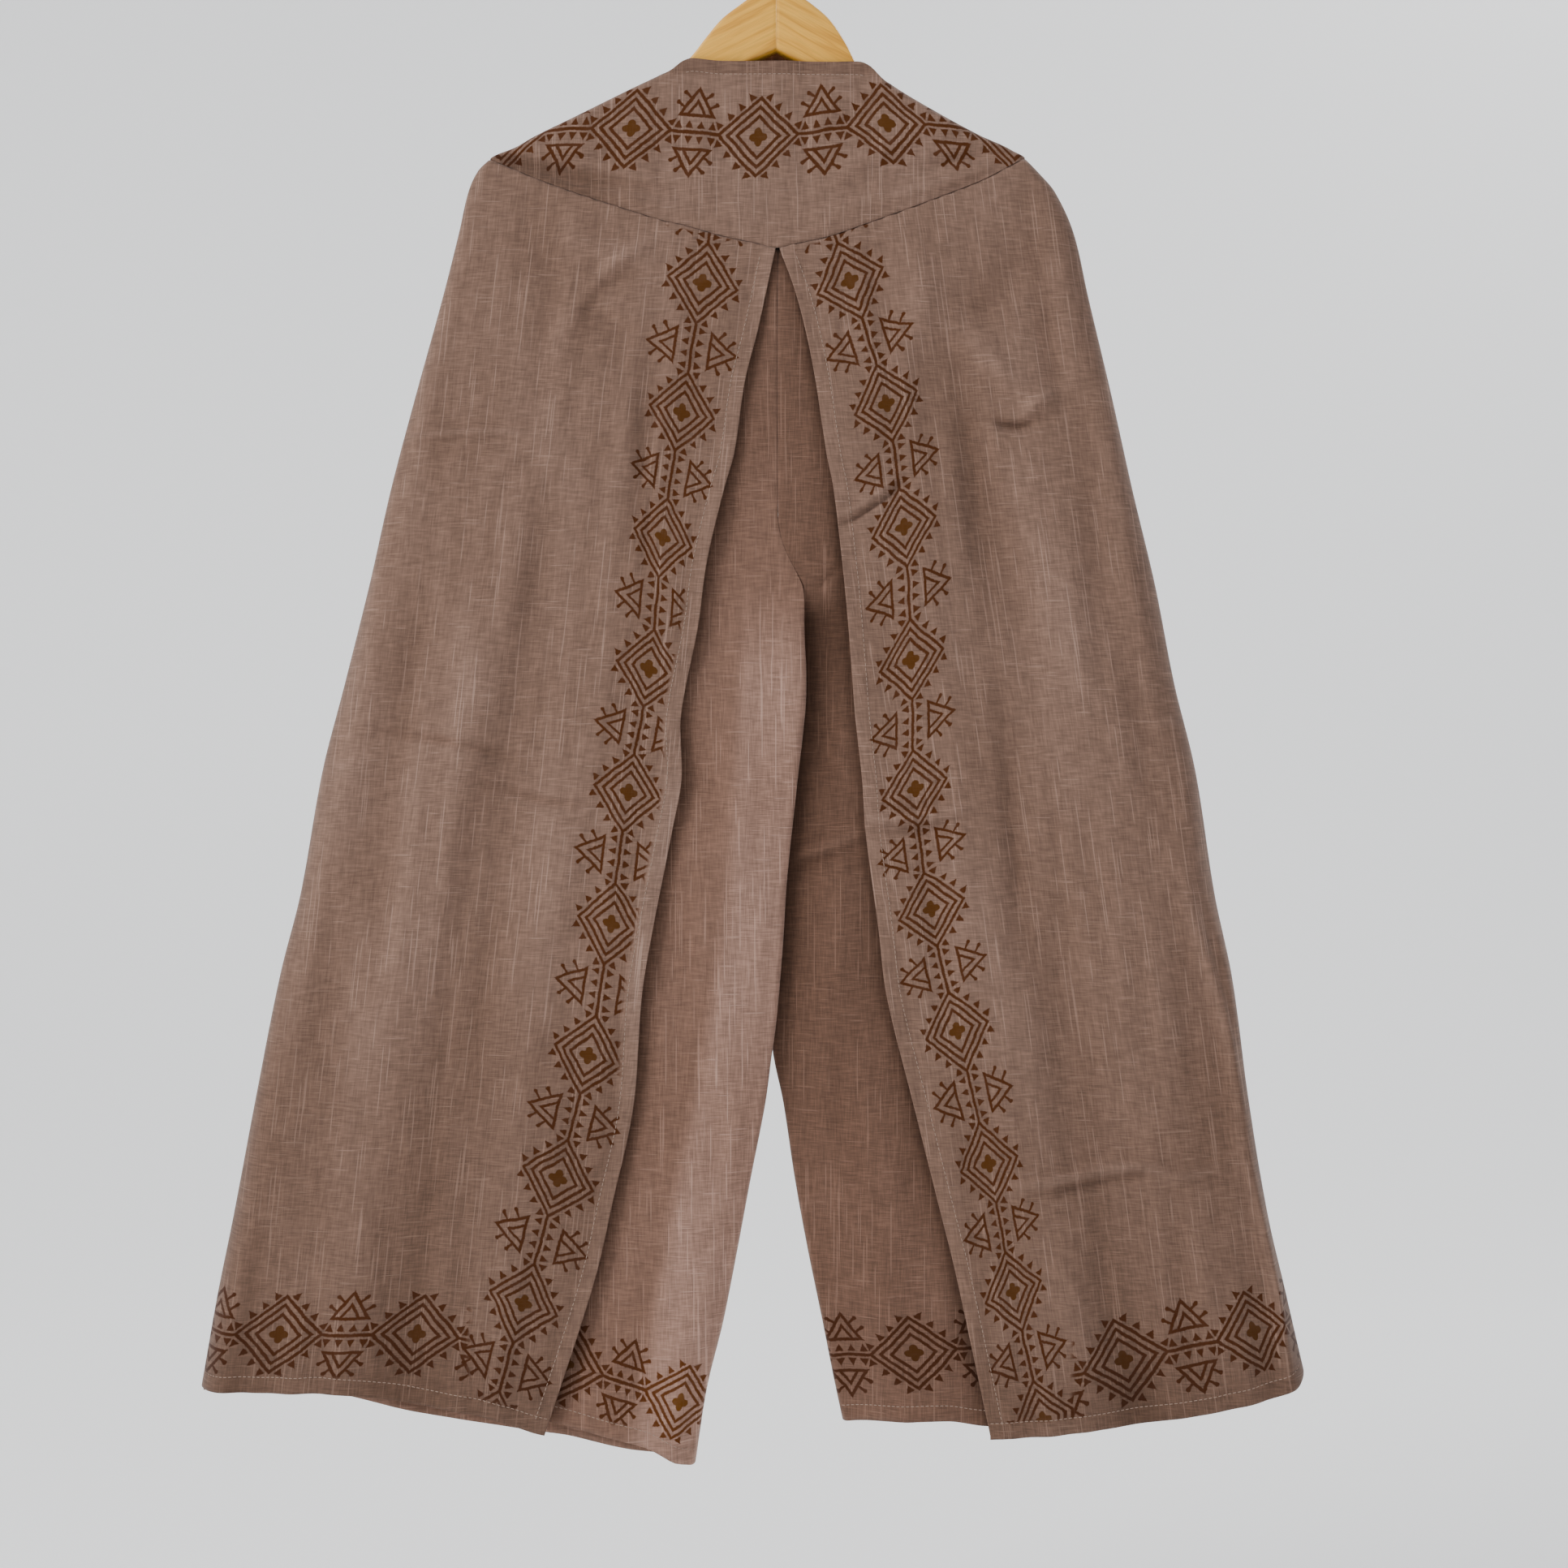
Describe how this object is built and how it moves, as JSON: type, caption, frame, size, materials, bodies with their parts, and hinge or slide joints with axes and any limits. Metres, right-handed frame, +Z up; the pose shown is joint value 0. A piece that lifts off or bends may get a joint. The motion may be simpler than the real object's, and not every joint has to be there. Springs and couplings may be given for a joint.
{
  "type": "wide-leg cotton trousers on a wooden hanger",
  "caption": "Wide-leg cotton trousers with a slanted hip yoke and loose printed front panels over the legs, hanging from a flat wooden hanger with a wire hook.",
  "frame": {"origin": "the inner top of the hanger's hook, where the rail carries it", "axes": "+Z up, front of the garment towards -Y, +X to the right as seen from the front"},
  "size_m": [0.8213, 0.0648, 1.1604],
  "materials": {
    "cotton_outer": "slub cotton, matt",
    "cotton_under": "slub cotton, matt",
    "waist_casing": "slub cotton, matt",
    "hanger_wood": "clear varnish, satin",
    "hook_steel": "plated, polished"
  },
  "bodies": {
    "root": {"overlay_left": "cotton_outer", "overlay_right": "cotton_outer", "leg_front_left": "cotton_under", "leg_back_left": "cotton_under", "leg_front_right": "cotton_under", "leg_back_right": "cotton_under", "yoke_front": "cotton_outer", "waist_casing_front": "waist_casing", "yoke_back": "cotton_outer", "waist_casing_back": "waist_casing", "hanger_arm_left": "hanger_wood", "hanger_arm_right": "hanger_wood", "hanger_hook": "hook_steel"}
  },
  "joints": []
}
